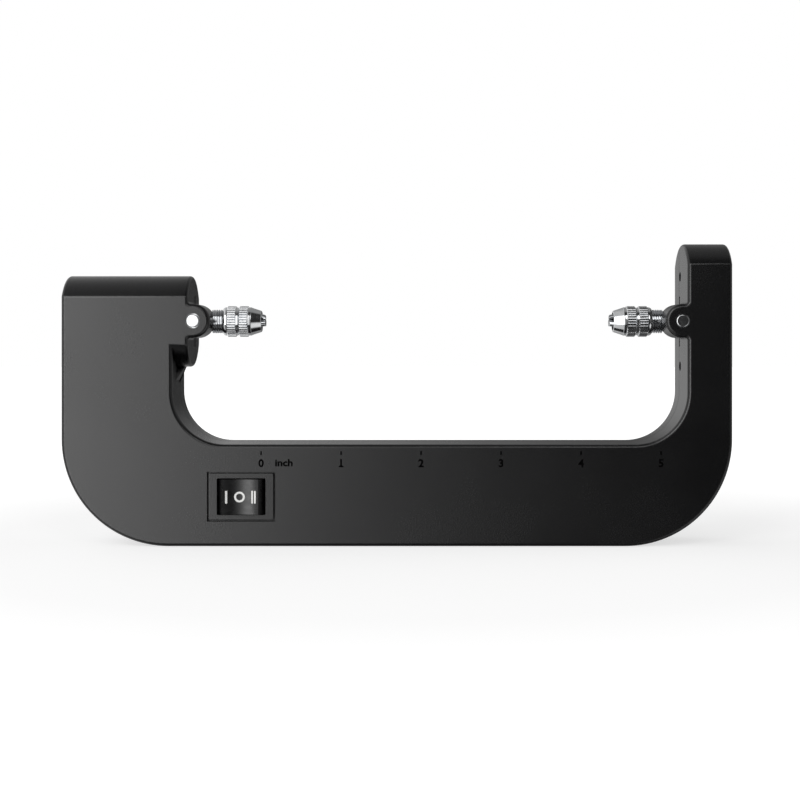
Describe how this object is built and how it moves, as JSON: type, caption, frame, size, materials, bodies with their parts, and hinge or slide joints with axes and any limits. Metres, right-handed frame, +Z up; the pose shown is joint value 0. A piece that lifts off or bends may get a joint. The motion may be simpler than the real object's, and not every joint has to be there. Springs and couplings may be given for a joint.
{
  "type": "coil winding jig",
  "caption": "C-shaped case whose towers carry facing keyless chucks on one axis, with push-pin spindle locks, a centre-off rocker switch and a hinged rear battery door.",
  "frame": {"origin": "on the flat resting face, half way along the case and half way between its front and back faces", "axes": "+X along the base towards the narrow tower, +Y from the front face to the back, +Z up"},
  "size_m": [0.2134, 0.0272, 0.0968],
  "materials": {
    "case_plastic": "fine-grained matt black ABS",
    "rocker_plastic": "glossy black moulding with white marks",
    "terminal_brass": "stamped blades",
    "cell_jacket": "printed foil jacket",
    "plated_steel": "bright zinc plating",
    "spring_steel": "nickel-plated wire",
    "spindle_steel": "turned and hardened",
    "chuck_chrome": "polished chrome plating over turned steel",
    "bush_bronze": "sintered bronze",
    "motor_nylon": "moulded nylon",
    "lead_red": "silicone sheath over copper",
    "lead_black": "silicone sheath over copper"
  },
  "bodies": {
    "case": {"front_shell": "case_plastic", "rear_shell": "case_plastic", "case_screw_1": "plated_steel", "case_screw_2": "plated_steel", "case_screw_3": "plated_steel", "case_screw_4": "plated_steel", "case_screw_5": "plated_steel", "case_screw_6": "plated_steel", "switch_housing": "case_plastic", "switch_terminal_1": "terminal_brass", "switch_terminal_2": "terminal_brass", "switch_terminal_3": "terminal_brass", "battery_tray": "case_plastic", "battery_cell_1": "cell_jacket", "battery_cell_2": "cell_jacket", "battery_cell_3": "cell_jacket", "battery_cell_4": "cell_jacket", "contact_plus": "plated_steel", "contact_minus": "plated_steel", "contact_bridge": "plated_steel", "battery_spring_1": "spring_steel", "battery_spring_2": "spring_steel", "left_bush": "bush_bronze", "gearbox": "plated_steel", "motor_can": "plated_steel", "motor_cap": "motor_nylon", "right_bearing_1": "plated_steel", "right_bearing_2": "plated_steel", "bearing_block": "case_plastic", "block_screw_1": "plated_steel", "block_screw_2": "plated_steel", "left_lock_spring": "spring_steel", "right_lock_spring": "spring_steel", "lead_plus": "lead_red", "lead_minus": "lead_black", "lead_motor": "lead_red", "lead_tap": "lead_black"},
    "rocker": {"rocker": "rocker_plastic"},
    "battery_door": {"battery_door": "case_plastic"},
    "left_chuck": {"left_spindle": "spindle_steel", "left_chuck_body": "chuck_chrome", "motor_shaft": "spindle_steel"},
    "left_sleeve": {"left_chuck_sleeve": "chuck_chrome"},
    "left_jaw_1": {"left_jaw_1": "spindle_steel"},
    "left_jaw_2": {"left_jaw_2": "spindle_steel"},
    "left_jaw_3": {"left_jaw_3": "spindle_steel"},
    "right_chuck": {"right_spindle": "spindle_steel", "right_chuck_body": "chuck_chrome", "retaining_ring": "spring_steel"},
    "right_sleeve": {"right_chuck_sleeve": "chuck_chrome"},
    "right_jaw_1": {"right_jaw_1": "spindle_steel"},
    "right_jaw_2": {"right_jaw_2": "spindle_steel"},
    "right_jaw_3": {"right_jaw_3": "spindle_steel"},
    "left_lock": {"left_lock_pin": "plated_steel"},
    "right_lock": {"right_lock_pin": "plated_steel"}
  },
  "joints": [
    {"name": "rocker_tilt", "type": "hinge", "parent": "case", "child": "rocker", "pos_m": [-0.04945, -0.00969, 0.01585], "axis": [0, 0, 1], "range_deg": [-10, 10]},
    {"name": "door_swing", "type": "hinge", "parent": "case", "child": "battery_door", "pos_m": [0.018, 0.0126, 0.0053], "axis": [-1, 0, 0], "range_deg": [0, 70]},
    {"name": "left_spin", "type": "hinge", "parent": "case", "child": "left_chuck", "pos_m": [-0.06485, 0, 0.0717], "axis": [1, 0, 0], "continuous": true},
    {"name": "right_spin", "type": "hinge", "parent": "case", "child": "right_chuck", "pos_m": [0.09085, 0, 0.0717], "axis": [1, 0, 0], "continuous": true},
    {"name": "left_grip", "type": "hinge", "parent": "left_chuck", "child": "left_sleeve", "pos_m": [-0.048, 0, 0.0717], "axis": [1, 0, 0], "range_deg": [0, 720]},
    {"name": "left_jaw_1_slide", "type": "slide", "parent": "left_chuck", "child": "left_jaw_1", "axis": [-0.9703, 0, 0.2419], "range_m": [0, 0.0028]},
    {"name": "left_jaw_2_slide", "type": "slide", "parent": "left_chuck", "child": "left_jaw_2", "axis": [-0.9703, -0.2095, -0.121], "range_m": [0, 0.0028]},
    {"name": "left_jaw_3_slide", "type": "slide", "parent": "left_chuck", "child": "left_jaw_3", "axis": [-0.9703, 0.2095, -0.121], "range_m": [0, 0.0028]},
    {"name": "right_grip", "type": "hinge", "parent": "right_chuck", "child": "right_sleeve", "pos_m": [0.074, 0, 0.0717], "axis": [1, 0, 0], "range_deg": [0, 720]},
    {"name": "right_jaw_1_slide", "type": "slide", "parent": "right_chuck", "child": "right_jaw_1", "axis": [0.9703, 0, 0.2419], "range_m": [0, 0.0028]},
    {"name": "right_jaw_2_slide", "type": "slide", "parent": "right_chuck", "child": "right_jaw_2", "axis": [0.9703, 0.2095, -0.121], "range_m": [0, 0.0028]},
    {"name": "right_jaw_3_slide", "type": "slide", "parent": "right_chuck", "child": "right_jaw_3", "axis": [0.9703, -0.2095, -0.121], "range_m": [0, 0.0028]},
    {"name": "left_lock_press", "type": "slide", "parent": "case", "child": "left_lock", "axis": [0, 1, 0], "range_m": [0, 0.002], "stiffness_N_per_m": 200, "springref_m": -0.003, "deforming": ["left_lock_spring"]},
    {"name": "right_lock_press", "type": "slide", "parent": "case", "child": "right_lock", "axis": [0, 1, 0], "range_m": [0, 0.002], "stiffness_N_per_m": 200, "springref_m": -0.003, "deforming": ["right_lock_spring"]}
  ],
  "couplings": [
    {"joint": "left_grip", "follows": "left_jaw_1_slide", "rad_per_m": 4480},
    {"joint": "left_jaw_2_slide", "follows": "left_jaw_1_slide", "ratio": 1},
    {"joint": "left_jaw_3_slide", "follows": "left_jaw_1_slide", "ratio": 1},
    {"joint": "right_grip", "follows": "right_jaw_1_slide", "rad_per_m": 4480},
    {"joint": "right_jaw_2_slide", "follows": "right_jaw_1_slide", "ratio": 1},
    {"joint": "right_jaw_3_slide", "follows": "right_jaw_1_slide", "ratio": 1}
  ]
}
